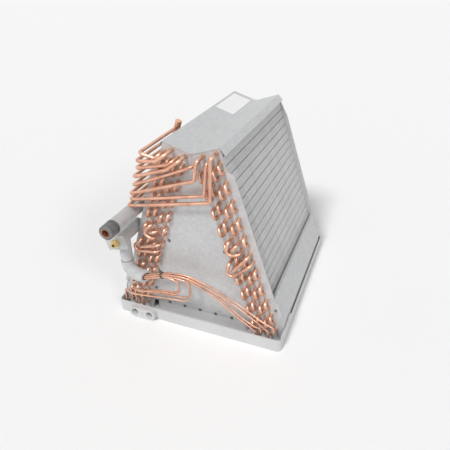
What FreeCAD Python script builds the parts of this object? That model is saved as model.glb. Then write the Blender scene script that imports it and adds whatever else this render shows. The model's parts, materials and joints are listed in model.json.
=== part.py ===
import FreeCAD, Part
import math
import os
import Sketcher
from FreeCAD import Placement, Rotation, Vector

# Uncased A-shaped evaporator coil: two four-row finned slabs lean together over a moulded drain pan.
# Millimetres. X runs across the two slabs, Y from front to back, Z up.
# The origin is the middle of the pan's underside.

doc = FreeCAD.newDocument("evaporator_coil")
sheet = doc.addObject("Spreadsheet::Sheet", "sizes")

# The driving dimensions. Each becomes a cell of the sheet, with its name as the cell's alias.
sizes = {
    # Coil tubes and fins
    "tubeOd": 9.52,
    "tubePitch": 25.4,
    "rowPitch": 19.05,
    "tubesPerRow": 22,
    "rowCount": 4,
    "finnedWidth": 508,
    "finPitch": 2.54,
    "finThickness": 0.3,
    "finSlotDepth": 3,
    "collarClearance": 0.05,
    "sheetHoleClearance": 0.15,
    "bellWall": 0.8,
    "bellDepth": 5.5,
    "bellClearance": 0.1,
    "bellRoot": 1.5,
    "bendStandoff": 6.5,
    "hairpinStandoff": 6,
    "legRadius": 10,
    "wrapRadius": 12,
    "crossoverGap": 0.8,
    # How the slabs stand
    "apexHalfGap": 3.6,
    "slabSeatHeight": 8,
    "sheetThickness": 1.2,
    "sheetTopMargin": 3.8,
    "sheetInnerMargin": 12,
    "sheetOuterMargin": 14.5,
    "sheetStepStart": 57,
    "sheetStepEnd": 67,
    "sheetApexGap": 0.4,
    "sheetWallGap": 4.5,
    "sheetCornerCut": 9,
    # Drain pan
    "panWidth": 524,
    "panHeight": 40,
    "panWall": 3,
    "panFloor": 3,
    "panCorner": 14,
    "panFrontGap": 40,
    "panRearGap": 33.6,
    "slabWallGap": 8.4794,
    "innerWall": 4,
    "innerWallHeight": 50,
    "openingSetback": 32.1327,
    "openingCorner": 10,
    "drainSpacing": 50,
    "drainRadius": 12.1,
    "drainInset": 89,
    "drainDepth": 18,
    "drainBossRadius": 18.5,
    "drainBossReach": 15,
    "lugLength": 100,
    "lugThickness": 5.5,
    "lugRise": 9,
    "lugHoleRadius": 5,
    "lugHoleHeight": 27,
    "lugHoleInset": 14,
    "lugFrontInset": 14,
    # Folded sheet metal
    "capThickness": 1.2,
    "capOverhang": 2.4,
    "valleyHalfWidth": 5,
    "ridgeOverhang": 1.2,
    "flangeLength": 22,
    "flangeFlare": 22,
    "foldRadius": 1,
    "deltaLap": 1.5,
    "deltaTopDrop": 14.844,
    "deltaRailLap": 9,
    "guardThickness": 1,
    "guardStart": 440,
    "guardGap": 0.3,
    "guardLip": 10,
    "guardLowest": 24,
    "guardEarStart": 462,
    "guardEarLength": 34,
    "guardEarWidth": 13,
    "guardEarSlope": 4,
    "guardEarCut": 8,
    # Screws
    "screwPitch": 50.8,
    "screwsAlong": 5,
    "screwRadius": 1.9,
    "screwLength": 3.4,
    "screwHead": 3.9,
    "screwFlange": 4.8,
    "screwFlangeThickness": 0.9,
    "screwHeadHeight": 3,
    "screwHoleClearance": 0.1,
    "railScrewDrop": 4.5,
    "sideScrewInset": 6.5,
    "sideScrewUpper": 276,
    "sideScrewLower": 470,
    "guardScrewDown": 476,
    "guardScrewInset": 5.5,
    # Suction side
    "headerOd": 19.05,
    "headerWall": 1,
    "headerOffset": 44,
    "headerBehindFront": 183,
    "headerTop": 20,
    "branchPlane": 30,
    "branchPlaneStep": 6.5,
    "branchBend": 12,
    "branchKneeBend": 9,
    "suctionHeight": 351,
    "suctionOd": 22.2,
    "suctionWall": 1,
    "suctionBend": 23,
    "socketRadius": 11.15,
    "socketWall": 1,
    "socketDepth": 22,
    "suctionReach": 132,
    "headerCup": 5,
    "headerCupGap": 0.1,
    "plugThickness": 1.5,
    "plugDepth": 4,
    "plugLap": 0.4,
    "plugCrown": 1.6,
    "plugBevel": 2,
    "sleeveRadius": 20.5,
    "sleeveGap": 0.2,
    "sleeveFront": 93,
    "sleeveEdge": 1.5,
    "grommetRadius": 20.5,
    "grommetNeck": 15.5,
    "grommetRear": 21,
    "grommetFace": 131,
    "grommetBody": 27,
    "grommetGroove": 3.5,
    "grommetRearLength": 5.2,
    # Liquid side
    "liquidAside": 21.108,
    "liquidDrop": 61,
    "plateWidth": 66,
    "plateHeight": 42,
    "plateThickness": 1.5,
    "plateTurn": 16,
    "plateReach": 83,
    "fittingHex": 22,
    "fittingHexLength": 9,
    "fittingNose": 8.6,
    "fittingNoseLength": 6,
    "fittingBore": 4.8,
    "fittingBoreDepth": 20,
    "fittingTail": 9,
    "fittingTailLength": 12,
    "valveRadius": 14,
    "valveLength": 78,
    "valveGap": 0.3,
    "valveSleeveRadius": 18.5,
    "valveSleeveLength": 118,
    "dropShift": 1,
    "dropReach": 47,
    "dropSleeveRadius": 17.5,
    "dropSleeveBore": 12,
    "dropLength": 76,
    "elbowSleeveRadius": 19,
    "elbowDrop": 46,
    "elbowBend": 38,
    "elbowReach": 54,
    "elbowShift": 4,
    "outletRadius": 6.35,
    "outletBend": 28,
    "distributorRadius": 10.5,
    "distributorLength": 18,
    "distributorInset": 4,
    "feederOd": 4.76,
    "clusterRadius": 6.4,
    "feederSocket": 8,
    "feederClearance": 0.1,
    "feederDropPlane": 30,
    "reducerRadius": 4,
    "tieHalfWidth": 2.4,
    "tieWall": 1.2,
    "tieGap": 0.2,
    "tieReach": 59,
    "bundleRise": 20,
    "bundleStraight": 10,
    "bundleLength": 68,
    "bundleEase": 10,
    "feederDrop": 26,
    "feederSweep": 140,
    "feederBend": 9,
}
for row, (alias, value) in enumerate(sizes.items(), start=1):
    sheet.set(f"A{row}", str(value))
    sheet.setAlias(f"A{row}", alias)
doc.recompute()


def size(alias):
    return float(sheet.get(alias))


# Values worked out from the sheet
tubeRadius = size("tubeOd") / 2
finDepth = size("rowPitch") * size("rowCount")
finLength = size("tubePitch") * size("tubesPerRow")
# The slabs lean so that their outer feet come up to the pan wall
footReach = size("panWidth") / 2 - size("panWall") - size("slabWallGap") - size("apexHalfGap")
lean = math.asin(footReach / math.hypot(finLength, finDepth)) - math.atan2(finDepth, finLength)
leanDegrees = math.degrees(lean)
panDepth = size("panFrontGap") + size("finnedWidth") + 2 * size("sheetThickness") + size("panRearGap")
coilFront = -panDepth / 2 + size("panFrontGap")
coilBack = coilFront + size("finnedWidth") + 2 * size("sheetThickness")
bellOuter = tubeRadius + size("bellClearance") + size("bellWall")
bendEnd = coilFront - size("bendStandoff") - size("tubePitch") / 2 - tubeRadius
crossoverPlane = bendEnd - size("crossoverGap") - tubeRadius
slabBaseX = size("apexHalfGap") + finLength * math.sin(lean)
slabBaseZ = size("slabSeatHeight")
slabTopZ = slabBaseZ + finLength * math.cos(lean)
railScrewZ = size("innerWallHeight") - size("railScrewDrop")
lastTube = int(size("tubesPerRow")) - 1
lastRow = int(size("rowCount")) - 1
screwHole = size("screwRadius") + size("screwHoleClearance")

slabPlacement = {
    "right": Placement(Vector(slabBaseX, 0, slabBaseZ), Rotation(Vector(0, 1, 0), -leanDegrees)),
    "left": Placement(
        Vector(-slabBaseX - finDepth * math.cos(lean), 0, slabBaseZ + finDepth * math.sin(lean)),
        Rotation(Vector(0, 1, 0), leanDegrees)),
}
handings = {"right": 1, "left": -1}
subParts = []


def tubeX(row):
    """Rows are counted from the slab's right-hand face."""
    return finDepth - size("rowPitch") * (row + 0.5)


def tubeZ(row, tube):
    """Every other row starts half a pitch lower."""
    start = size("tubePitch") * (0.25 if row % 2 == 0 else 0.75)
    return finLength - start - tube * size("tubePitch")


def slabPoint(side, x, y, z):
    return slabPlacement[side].multVec(Vector(x, y, z))


def outwardPoint(side, out, down, y=0.0):
    """A point given by its distance out from the slab's inner face and down from the fins' top."""
    x = out if side == "right" else finDepth - out
    return slabPoint(side, x, y, finLength - down)


def holdFeature(label, shape, placement=None):
    """A sub-part whose shape is worked out in code."""
    feature = doc.addObject("Part::Feature", label)
    feature.Shape = shape
    feature.Label = label
    if placement is not None:
        feature.Placement = placement
    subParts.append(feature)
    return feature


def newBody(label, placement=None):
    body = doc.addObject("PartDesign::Body", label)
    body.Label = label
    if placement is not None:
        body.Placement = placement
    subParts.append(body)
    return body


def originPlane(body, role):
    return [item for item in body.Origin.OriginFeatures if item.Role == role][0]


def sketchOn(body, name, role, offset=0.0):
    """A sketch on one of the body's own planes, moved along that plane's normal."""
    sketch = body.newObject("Sketcher::SketchObject", name)
    sketch.AttachmentSupport = [(originPlane(body, role), "")]
    sketch.MapMode = "FlatFace"
    sketch.AttachmentOffset = Placement(Vector(0, 0, offset), Rotation())
    return sketch


def drawPolygon(sketch, points):
    flat = [Vector(p[0], p[1], 0) for p in points]
    for start, end in zip(flat, flat[1:] + flat[:1]):
        sketch.addGeometry(Part.LineSegment(start, end), False)


def drawRoundedRectangle(sketch, halfX, halfY, radius, centre=(0, 0)):
    """Four sides and four corner arcs, or a plain rectangle where the radius is nothing."""
    cx, cy = centre
    across, up = halfX - radius, halfY - radius
    corners = [(cx + across, cy + up), (cx - across, cy + up), (cx - across, cy - up), (cx + across, cy - up)]
    ends = []
    for index, (x, y) in enumerate(corners):
        begin = index * math.pi / 2
        circle = Part.Circle(Vector(x, y, 0), Vector(0, 0, 1), radius)
        arc = Part.ArcOfCircle(circle, begin, begin + math.pi / 2)
        sketch.addGeometry(arc, False)
        ends.append((arc.StartPoint, arc.EndPoint))
    for index in range(4):
        if (ends[index][1] - ends[(index + 1) % 4][0]).Length > 1e-6:
            sketch.addGeometry(Part.LineSegment(ends[index][1], ends[(index + 1) % 4][0]), False)


def drawCircle(sketch, x, y, radiusExpression, radius):
    """A circle whose radius stays bound to the sheet."""
    index = sketch.addGeometry(Part.Circle(Vector(x, y, 0), Vector(0, 0, 1), radius), False)
    constraint = sketch.addConstraint(Sketcher.Constraint("Radius", index, radius))
    sketch.setExpression(f"Constraints[{constraint}]", radiusExpression)
    return index


def padOf(body, sketch, length, reverse=False):
    pad = body.newObject("PartDesign::Pad", sketch.Name + "_pad")
    pad.Profile = sketch
    pad.setExpression("Length", length)
    pad.Reversed = reverse
    body.Tip = pad
    return pad


def pocketOf(body, sketch, length=None, reverse=False, throughAll=False):
    pocket = body.newObject("PartDesign::Pocket", sketch.Name + "_pocket")
    pocket.Profile = sketch
    if throughAll:
        pocket.Type = "ThroughAll"
        pocket.Midplane = True
    else:
        pocket.setExpression("Length", length)
        pocket.Reversed = reverse
    body.Tip = pocket
    return pocket


def stripOutline(points, thickness, radius):
    """The closed outline of a folded sheet: points follow its right-hand face, bends have the inner radius."""
    count = len(points)
    spots = [Vector(p[0], p[1], 0) for p in points]

    def offsetCorner(index, distance):
        if index == 0 or index == count - 1:
            near = 1 if index == 0 else count - 2
            along = (spots[near] - spots[index]) if index == 0 else (spots[index] - spots[near])
            along.normalize()
            return spots[index] + Vector(-along.y, along.x, 0) * distance
        before = spots[index] - spots[index - 1]
        after = spots[index + 1] - spots[index]
        before.normalize()
        after.normalize()
        left = Vector(-before.y, before.x, 0) + Vector(-after.y, after.x, 0)
        return spots[index] + left * (distance / (1 + before.dot(after)))

    def side(distance):
        edges = []
        cursor = offsetCorner(0, distance)
        for index in range(1, count - 1):
            before = spots[index] - spots[index - 1]
            after = spots[index + 1] - spots[index]
            before.normalize()
            after.normalize()
            turn = before.x * after.y - before.y * after.x
            angle = math.acos(max(-1.0, min(1.0, before.dot(after))))
            inner = (distance > 0) == (turn > 0)
            bend = radius if inner else radius + thickness
            corner = offsetCorner(index, distance)
            reach = bend * math.tan(angle / 2)
            start, end = corner - before * reach, corner + after * reach
            toCentre = after - before
            toCentre.normalize()
            middle = corner + toCentre * (bend / math.cos(angle / 2) - bend)
            edges.append(Part.LineSegment(cursor, start))
            edges.append(Part.Arc(start, middle, end))
            cursor = end
        edges.append(Part.LineSegment(cursor, offsetCorner(count - 1, distance)))
        return edges

    right = side(0.0)
    left = side(thickness)
    joins = [
        Part.LineSegment(right[-1].EndPoint, left[-1].EndPoint),
        Part.LineSegment(left[0].StartPoint, right[0].StartPoint),
    ]
    return right + left + joins


def filletedPath(points, radii):
    """Straight runs joined by tangent arcs. One radius for each inner point."""
    edges = []
    cursor = points[0]
    total = 0.0
    for index in range(1, len(points) - 1):
        before = points[index] - points[index - 1]
        after = points[index + 1] - points[index]
        before.normalize()
        after.normalize()
        angle = math.acos(max(-1.0, min(1.0, before.dot(after))))
        if angle < 1e-4:
            continue
        radius = radii[index - 1]
        reach = radius * math.tan(angle / 2)
        start, end = points[index] - before * reach, points[index] + after * reach
        toCentre = after - before
        toCentre.normalize()
        middle = points[index] + toCentre * (radius / math.cos(angle / 2) - radius)
        if (start - cursor).Length > 1e-6:
            edges.append(Part.LineSegment(cursor, start).toShape())
            total += (start - cursor).Length
        edges.append(Part.Arc(start, middle, end).toShape())
        total += radius * angle
        cursor = end
    edges.append(Part.LineSegment(cursor, points[-1]).toShape())
    total += (points[-1] - cursor).Length
    return Part.Wire(edges), total


def sweptTube(points, radii, radius):
    """A round rod along a filleted path. Its volume has to be its section times its length."""
    path, length = filletedPath(points, radii)
    along = points[1] - points[0]
    circle = Part.Wire([Part.makeCircle(radius, points[0], along)])
    solid = path.makePipeShell([circle], True, False)
    expected = math.pi * radius * radius * length
    if abs(solid.Volume - expected) > 0.002 * expected:
        raise ValueError(f"swept tube holds {solid.Volume:.1f}, not {expected:.1f}")
    return solid


def uBendTube(startY, centreY, side, radius):
    """A rod that runs along Y to a half turn and back, open towards the start. side is 1 towards the back."""
    half = size("tubePitch") / 2
    upper, lower = Vector(0, startY, half), Vector(0, startY, -half)
    turnStart, turnEnd = Vector(0, centreY, half), Vector(0, centreY, -half)
    path = Part.Wire([
        Part.LineSegment(upper, turnStart).toShape(),
        Part.Arc(turnStart, Vector(0, centreY + side * half, 0), turnEnd).toShape(),
        Part.LineSegment(turnEnd, lower).toShape()])
    circle = Part.Wire([Part.makeCircle(radius, upper, Vector(0, side, 0))])
    return path.makePipeShell([circle], True, False)


def rod(radius, start, end):
    along = end - start
    return Part.makeCylinder(radius, along.Length, start, along)


def alongY(radius, x, z, yStart, yEnd):
    """A cylinder parallel to Y."""
    return rod(radius, Vector(x, yStart, z), Vector(x, yEnd, z))


# Drain pan
def buildDrainPan():
    body = newBody("drain_pan")
    halfX, halfY = size("panWidth") / 2, panDepth / 2
    openX = slabBaseX - size("openingSetback")
    openFront = coilFront + size("innerWall")
    openBack = coilBack - size("innerWall")
    openMiddle, openHalfY = (openFront + openBack) / 2, (openBack - openFront) / 2
    wall = size("innerWall")

    base = sketchOn(body, "pan_floor", "XY_Plane")
    drawRoundedRectangle(base, halfX, halfY, size("panCorner"))
    drawRoundedRectangle(base, openX, openHalfY, size("openingCorner"), (0, openMiddle))
    padOf(body, base, "sizes.panFloor")

    outer = sketchOn(body, "outer_wall", "XY_Plane")
    drawRoundedRectangle(outer, halfX, halfY, size("panCorner"))
    thin = size("panWall")
    drawRoundedRectangle(outer, halfX - thin, halfY - thin, size("panCorner") - thin)
    padOf(body, outer, "sizes.panHeight")

    inner = sketchOn(body, "inner_wall", "XY_Plane")
    drawRoundedRectangle(inner, openX + wall, openHalfY + wall, size("openingCorner") + wall, (0, openMiddle))
    drawRoundedRectangle(inner, openX, openHalfY, size("openingCorner"), (0, openMiddle))
    padOf(body, inner, "sizes.innerWallHeight")

    # The drain boss stands out from the front wall, with one port for each drain line
    boss = sketchOn(body, "drain_boss", "XZ_Plane", halfY - size("panWall"))
    bossRadius = size("drainBossRadius")
    drawRoundedRectangle(
        boss, size("drainSpacing") / 2 + bossRadius, bossRadius, bossRadius * 0.999,
        (size("drainInset") - halfX, size("panHeight") / 2))
    padOf(body, boss, "sizes.drainBossReach + sizes.panWall")

    ports = sketchOn(body, "drain_ports", "XZ_Plane", halfY + size("drainBossReach"))
    for hand in (-1, 1):
        x = size("drainInset") - halfX + hand * size("drainSpacing") / 2
        drawCircle(ports, x, size("panHeight") / 2, "sizes.drainRadius", size("drainRadius"))
    pocketOf(body, ports, "sizes.drainDepth")

    # A thicker stretch of the right wall rises towards the back and holds a cross hole
    lug = sketchOn(body, "wall_lug", "YZ_Plane", halfX - size("lugThickness"))
    front = -halfY + size("lugFrontInset")
    back = front + size("lugLength")
    low, high = size("panHeight"), size("panHeight") + size("lugRise")
    drawPolygon(lug, [(front, size("panFloor")), (back, size("panFloor")), (back, high),
                      (back - size("lugRise") * 1.5, high), (front, low)])
    padOf(body, lug, "sizes.lugThickness")
    hole = sketchOn(body, "lug_hole", "YZ_Plane", halfX)
    drawCircle(hole, back - size("lugHoleInset"), size("lugHoleHeight"), "sizes.lugHoleRadius",
               size("lugHoleRadius"))
    pocketOf(body, hole, "sizes.lugThickness")

    # Blind holes in the inner wall take the rail screws
    for name, offset, reverse in (("front_rail", -coilFront, False), ("back_rail", -coilBack, True)):
        rail = sketchOn(body, name, "XZ_Plane", offset)
        for x in railScrewPlaces():
            drawCircle(rail, x, railScrewZ, "sizes.screwRadius + sizes.screwHoleClearance", screwHole)
        pocketOf(body, rail, "sizes.screwLength", reverse)
    return body


def railScrewPlaces():
    count = int(size("screwsAlong"))
    return [(index - (count - 1) / 2) * size("screwPitch") for index in range(count)]


# Fin packs
def buildFinPacks():
    """The fins are one block like the leaves of a book, slotted on both faces at the fin pitch."""
    start = coilFront + size("sheetThickness")
    count = int(size("finnedWidth") / size("finPitch"))
    margin = (size("finnedWidth") - count * size("finPitch")) / 2
    slot = size("finPitch") - size("finThickness")
    depth = size("finSlotDepth")

    def face(x, inward):
        corners = [(x, start)]
        for index in range(count):
            low = start + margin + index * size("finPitch") + size("finThickness") / 2
            corners += [(x, low), (x + inward * depth, low), (x + inward * depth, low + slot), (x, low + slot)]
        corners.append((x, start + size("finnedWidth")))
        return corners

    outline = face(0, 1) + face(finDepth, -1)[::-1]
    points = [Vector(x, y, 0) for x, y in outline]
    comb = Part.Face(Part.makePolygon(points + points[:1])).extrude(Vector(0, 0, finLength))
    radius = tubeRadius + size("collarClearance")
    tools = [alongY(radius, tubeX(row), tubeZ(row, tube), start - 1, start + size("finnedWidth") + 1)
             for row in range(lastRow + 1) for tube in range(lastTube + 1)]
    pack = comb.cut(tools)
    for side in ("left", "right"):
        holdFeature(f"{side}_fin_pack", pack.copy(), slabPlacement[side])


# Tube sheets
def sheetOutline(side):
    """The outline in the slab's own axes. The foot is level with the pan floor and clears the pan wall."""
    toSlab = slabPlacement["right"].inverse()
    top = finLength + size("sheetTopMargin")
    inner = -size("sheetInnerMargin")
    flush = finDepth + size("ridgeOverhang")
    outer = finDepth + size("sheetOuterMargin")
    wallX = size("panWidth") / 2 - size("panWall") - size("sheetWallGap")
    floor = size("panFloor")
    cut = size("sheetCornerCut")

    def local(x, z):
        point = toSlab.multVec(Vector(x, 0, z))
        return point.x, point.z

    def onLine(lineX, worldX=None, worldZ=None):
        """Where a line along the slab meets an upright or a level line of the coil."""
        base = slabPoint("right", lineX, 0, 0)
        if worldX is not None:
            return lineX, (base.x - worldX) / math.sin(lean)
        return lineX, (worldZ - base.z) / math.cos(lean)

    apexX = size("sheetApexGap")
    # The level top edge meets the upright line at the middle of the coil
    slope = slabPoint("right", 0, 0, top)
    topInner = (apexX - slope.x) / math.cos(lean)
    points = [
        (topInner, top), (flush, top), (flush, finLength - size("sheetStepStart")),
        (outer, finLength - size("sheetStepEnd")), onLine(outer, worldX=wallX),
        local(wallX, floor + cut), local(wallX - cut, floor), onLine(inner, worldZ=floor),
        onLine(inner, worldX=apexX),
    ]
    if side == "left":
        points = [(finDepth - x, z) for x, z in points][::-1]
    return points


def sideScrewPlaces(side):
    places = []
    for down in (size("sideScrewUpper"), size("sideScrewLower")):
        x = -size("sideScrewInset")
        places.append((x if side == "right" else finDepth - x, finLength - down))
    return places


def guardScrewPlace(side):
    x = finDepth + size("sheetOuterMargin") - size("guardScrewInset")
    return (x if side == "right" else finDepth - x, finLength - size("guardScrewDown"))


def buildTubeSheets():
    for side in ("left", "right"):
        for end in ("front", "rear"):
            body = newBody(f"{side}_{end}_tube_sheet", slabPlacement[side])
            face = coilFront if end == "front" else coilBack - size("sheetThickness")
            sketch = sketchOn(body, f"{side}_{end}_outline", "XZ_Plane", -face)
            drawPolygon(sketch, sheetOutline(side))
            radius = tubeRadius + size("sheetHoleClearance")
            for row in range(lastRow + 1):
                for tube in range(lastTube + 1):
                    sketch.addGeometry(
                        Part.Circle(Vector(tubeX(row), tubeZ(row, tube), 0), Vector(0, 0, 1), radius), False)
            for x, z in sideScrewPlaces(side) + [guardScrewPlace(side)]:
                drawCircle(sketch, x, z, "sizes.screwRadius + sizes.screwHoleClearance", screwHole)
            padOf(body, sketch, "sizes.sheetThickness", True)


# Hairpin tubes, return bends and crossover bends
def buildHairpins():
    """Each hairpin has its U at the back and two belled ends in front of the front sheet."""
    backCentre = coilBack + size("hairpinStandoff")
    bellFront = coilFront - size("bellDepth")
    half = size("tubePitch") / 2
    root = size("bellRoot")

    def legs(lowEnd):
        shape = uBendTube(coilFront, backCentre, 1, tubeRadius)
        bore = tubeRadius + size("bellClearance")
        pieces = []
        for z in ((half, -half) if lowEnd == "bell" else (half,)):
            cup = alongY(bellOuter, 0, z, coilFront, bellFront)
            pieces.append(cup.cut(alongY(bore, 0, z, coilFront - root, bellFront - 1)))
        if lowEnd == "feeder":
            neck = alongY(size("reducerRadius"), 0, -half, coilFront, bellFront - 2)
            seatRadius = size("feederOd") / 2 + size("feederClearance")
            seat = alongY(seatRadius, 0, -half, coilFront - root, bellFront - 3)
            pieces.append(neck.cut(seat))
        return shape.fuse(pieces).removeSplitter()

    plain, last = legs("bell"), legs("feeder")
    solids = []
    for row in range(lastRow + 1):
        for tube in range(0, lastTube, 2):
            middle = Vector(tubeX(row), 0, tubeZ(row, tube) - half)
            shape = (last if tube + 1 == lastTube else plain).copy()
            shape.translate(middle)
            solids.append(shape)
    for side in ("left", "right"):
        holdFeature(f"{side}_hairpin_tubes", Part.makeCompound([s.copy() for s in solids]), slabPlacement[side])


def bendPairs(row):
    """The tubes that a plain return bend joins. The outer rows cross over lower than the inner rows."""
    cross = 11 if row in (0, lastRow) else 9
    return [(tube, tube + 1) for tube in range(1, lastTube, 2) if tube != cross]


def seatFloor():
    return coilFront - size("bellRoot") - 0.3


def buildReturnBends():
    half = size("tubePitch") / 2
    centre = coilFront - size("bendStandoff")
    bend = uBendTube(seatFloor(), centre, -1, tubeRadius)
    solids = []
    for row in range(lastRow + 1):
        for upper, _ in bendPairs(row):
            copy = bend.copy()
            copy.translate(Vector(tubeX(row), 0, tubeZ(row, upper) - half))
            solids.append(copy)
    for side in ("left", "right"):
        holdFeature(f"{side}_return_bends", Part.makeCompound([s.copy() for s in solids]), slabPlacement[side])


def wrapCorner(start, centre, finish, radius):
    """Where the two lines from start and finish that touch a circle meet, on the circle's far side."""
    def touching(point, sign):
        toCentre = centre - point
        angle = math.atan2(toCentre.z, toCentre.x) + sign * math.asin(radius / toCentre.Length)
        return Vector(math.cos(angle), 0, math.sin(angle))

    best = None
    for one in (-1, 1):
        for two in (-1, 1):
            u, v = touching(start, one), touching(finish, two)
            cross = u.x * v.z - u.z * v.x
            if abs(cross) < 1e-6:
                continue
            gap = finish - start
            reach = (gap.x * v.z - gap.z * v.x) / cross
            corner = start + u * reach
            ahead = (corner - finish).dot(v)
            away = (corner - centre).Length
            if reach > 0 and ahead > 0 and (best is None or away > best[0]):
                best = (away, corner)
    return best[1]


def crossoverSolids():
    """Two nested pairs: the outer rows swap circuits at tubes 11 and 12, the inner rows at 9 and 10."""
    leg = size("legRadius")
    solids = []
    for first, last, upper in ((0, lastRow, 11), (lastRow - 1, 1, 9)):
        lower = upper + 1
        if first == 0:
            wrapStart, wrapEnd, around = (first, lower), (last, upper), (last, lower)
            inner = ((first, upper), (last, lower))
        else:
            wrapStart, wrapEnd, around = (first, upper), (last, lower), (first, lower)
            inner = ((last, upper), (first, lower))

        def hole(spot, y):
            return Vector(tubeX(spot[0]), y, tubeZ(*spot))

        start, end, centre = (hole(s, crossoverPlane) for s in (wrapStart, wrapEnd, around))
        corner = wrapCorner(start, centre, end, size("wrapRadius"))
        solids.append(sweptTube(
            [hole(wrapStart, seatFloor()), start, corner, end, hole(wrapEnd, seatFloor())],
            [leg, size("wrapRadius"), leg], tubeRadius))
        solids.append(sweptTube(
            [hole(inner[0], seatFloor()), hole(inner[0], crossoverPlane),
             hole(inner[1], crossoverPlane), hole(inner[1], seatFloor())],
            [leg, leg], tubeRadius))
    return solids


def buildCrossovers():
    solids = crossoverSolids()
    for side in ("left", "right"):
        bends = Part.makeCompound([s.copy() for s in solids])
        holdFeature(f"{side}_crossover_bends", bends, slabPlacement[side])


# Top cap
def buildTopCap():
    """One folded sheet: a level valley, two panels that lie on the tube sheets and two flared flanges."""
    underside = finLength + size("sheetTopMargin")
    ridge = finDepth + size("ridgeOverhang") + size("foldRadius")
    flare = math.radians(size("flangeFlare"))
    length = size("flangeLength")
    atRidge = slabPoint("right", ridge, 0, underside)
    flange = slabPoint("right", ridge + length * math.sin(flare), 0, underside - length * math.cos(flare))
    start = slabPoint("right", 0, 0, underside)
    valleyX = size("valleyHalfWidth")
    valleyZ = start.z + (valleyX - start.x) * math.tan(lean)
    half = [(valleyX, valleyZ), (atRidge.x, atRidge.z), (flange.x, flange.z)]
    points = [(-x, z) for x, z in half[::-1]] + half
    body = newBody("top_cap")
    sketch = sketchOn(body, "cap_profile", "XZ_Plane", -coilFront + size("capOverhang"))
    for edge in stripOutline(points, size("capThickness"), size("foldRadius")):
        sketch.addGeometry(edge, False)
    padOf(body, sketch, "sizes.finnedWidth + 2 * sizes.sheetThickness + 2 * sizes.capOverhang", True)


# Triangle plates that close the ends between the slabs
def buildDeltaPlates():
    lap = size("deltaLap")

    def edgeX(z):
        down = (slabPoint("right", lap, 0, finLength).z - z) / math.cos(lean)
        return slabPoint("right", lap, 0, finLength - down).x

    top, bottom = slabTopZ - size("deltaTopDrop"), size("innerWallHeight") - size("deltaRailLap")
    outline = [(-edgeX(top), top), (-edgeX(bottom), bottom), (edgeX(bottom), bottom), (edgeX(top), top)]
    for end, face in (("front", coilFront), ("rear", coilBack)):
        body = newBody(f"{end}_delta_plate")
        sketch = sketchOn(body, f"{end}_delta_outline", "XZ_Plane", -face)
        drawPolygon(sketch, outline)
        for x in railScrewPlaces():
            drawCircle(sketch, x, railScrewZ, "sizes.screwRadius + sizes.screwHoleClearance", screwHole)
        for side in ("left", "right"):
            for x, z in sideScrewPlaces(side):
                spot = slabPoint(side, x, 0, z)
                drawCircle(sketch, spot.x, spot.z, "sizes.screwRadius + sizes.screwHoleClearance", screwHole)
        padOf(body, sketch, "sizes.sheetThickness", end == "rear")


# Splash guards over the lower part of each slab's outer face
def buildSplashGuards():
    gap, thick = size("guardGap"), size("guardThickness")
    face = finDepth + size("sheetOuterMargin") + gap
    start = finLength - size("guardStart")
    wallX = size("panWidth") / 2 - size("panWall") - size("sheetWallGap") + gap
    fold = slabPoint("right", face, 0, start)
    lip = [slabPoint("right", face - size("guardLip"), 0, start), fold,
           slabPoint("right", face, 0, start - 3 * size("foldRadius"))]
    base = slabPoint("right", face, 0, 0)
    kneeZ = (base.x - wallX) / math.sin(lean)
    knee = slabPoint("right", face, 0, kneeZ)
    profile = [(fold.x, fold.z), (knee.x, knee.z), (knee.x, size("guardLowest"))]
    between = -coilFront - size("sheetThickness") - gap
    for side in ("left", "right"):
        hand = handings[side]
        points = [(hand * x, z) for x, z in profile]
        if side == "left":
            points = points[::-1]
        body = newBody(f"{side}_splash_guard")
        sketch = sketchOn(body, f"{side}_guard_profile", "XZ_Plane", -coilFront + gap + thick)
        for edge in stripOutline(points, thick, size("foldRadius")):
            sketch.addGeometry(edge, False)
        overSheets = "sizes.finnedWidth + 2 * (sizes.sheetThickness + sizes.guardGap + sizes.guardThickness)"
        padOf(body, sketch, overSheets, True)
        # A lip along the top folds in between the two tube sheets
        edge = [(hand * p.x, p.z) for p in lip]
        if side == "left":
            edge = edge[::-1]
        fin = sketchOn(body, f"{side}_guard_lip", "XZ_Plane", between)
        for item in stripOutline(edge, thick, size("foldRadius")):
            fin.addGeometry(item, False)
        padOf(body, fin, "sizes.finnedWidth - 2 * sizes.guardGap", True)
        # Ears at both ends fold over the tube sheets
        earTop = finLength - size("guardEarStart")
        width, drop = size("guardEarWidth"), size("guardEarLength")
        slope, cut = size("guardEarSlope"), size("guardEarCut")
        corners = [(face + thick / 2, earTop), (face - width, earTop - slope),
                   (face - width, earTop - drop + cut), (face + thick / 2, earTop - drop)]
        screwX, screwZ = guardScrewPlace("right")
        for end, y in (("front", coilFront - gap), ("rear", coilBack + gap + thick)):
            ear = sketchOn(body, f"{side}_{end}_ear", "XZ_Plane", -y)
            spots = [slabPoint("right", x, 0, z) for x, z in corners]
            drawPolygon(ear, [(hand * p.x, p.z) for p in spots])
            screw = slabPoint("right", screwX, 0, screwZ)
            drawCircle(ear, hand * screw.x, screw.z, "sizes.screwRadius + sizes.screwHoleClearance", screwHole)
            padOf(body, ear, "sizes.guardThickness")


# Screws with a hexagon head on a round flange
def screwSolid(x, z, face, outward):
    """face is where the flange rests, outward is -1 for the front of the coil and 1 for the back."""
    out = Vector(0, outward, 0)
    seat = Vector(x, face, z)
    flange = Part.makeCylinder(size("screwFlange"), size("screwFlangeThickness"), seat, out)
    corners = [Vector(x + size("screwHead") * math.cos(math.radians(60 * k)), face,
                      z + size("screwHead") * math.sin(math.radians(60 * k))) for k in range(7)]
    head = Part.Face(Part.makePolygon(corners)).extrude(out * size("screwHeadHeight"))
    shank = Part.makeCylinder(size("screwRadius"), size("screwLength") + 1, seat + out, out * -1)
    return flange.fuse([head, shank]).removeSplitter()


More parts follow.
